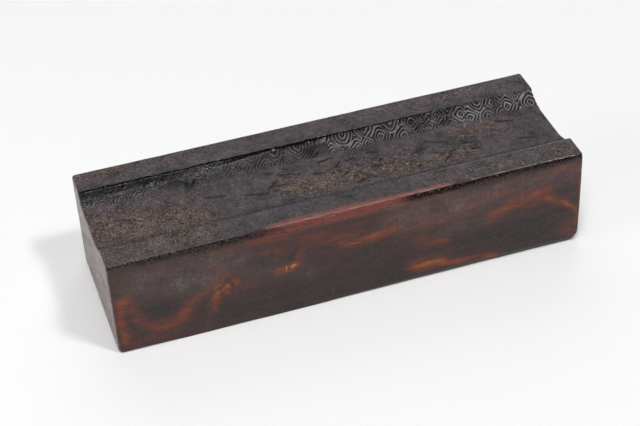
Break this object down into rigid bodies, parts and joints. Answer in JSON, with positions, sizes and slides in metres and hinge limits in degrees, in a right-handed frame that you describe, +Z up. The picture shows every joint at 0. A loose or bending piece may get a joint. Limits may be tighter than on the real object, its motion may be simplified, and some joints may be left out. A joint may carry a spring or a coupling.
{
  "type": "ink stick mould half",
  "caption": "Long hardwood block with a shallow coved trough open at both ends and flat parting borders, one half of a two-part mould for pressing ink sticks.",
  "frame": {"origin": "centre of the underside, on the surface that the block stands on", "axes": "+X along the trough, +Y across it towards the back border, +Z up out of the trough"},
  "size_m": [0.2, 0.066, 0.044],
  "materials": {
    "hardwood": "dark rosewood-like hardwood, hand-polished on the sides, ink-stained and dusty on the carved top, sawn at the ends"
  },
  "bodies": {
    "root": {"mould_block": "hardwood"}
  },
  "joints": []
}
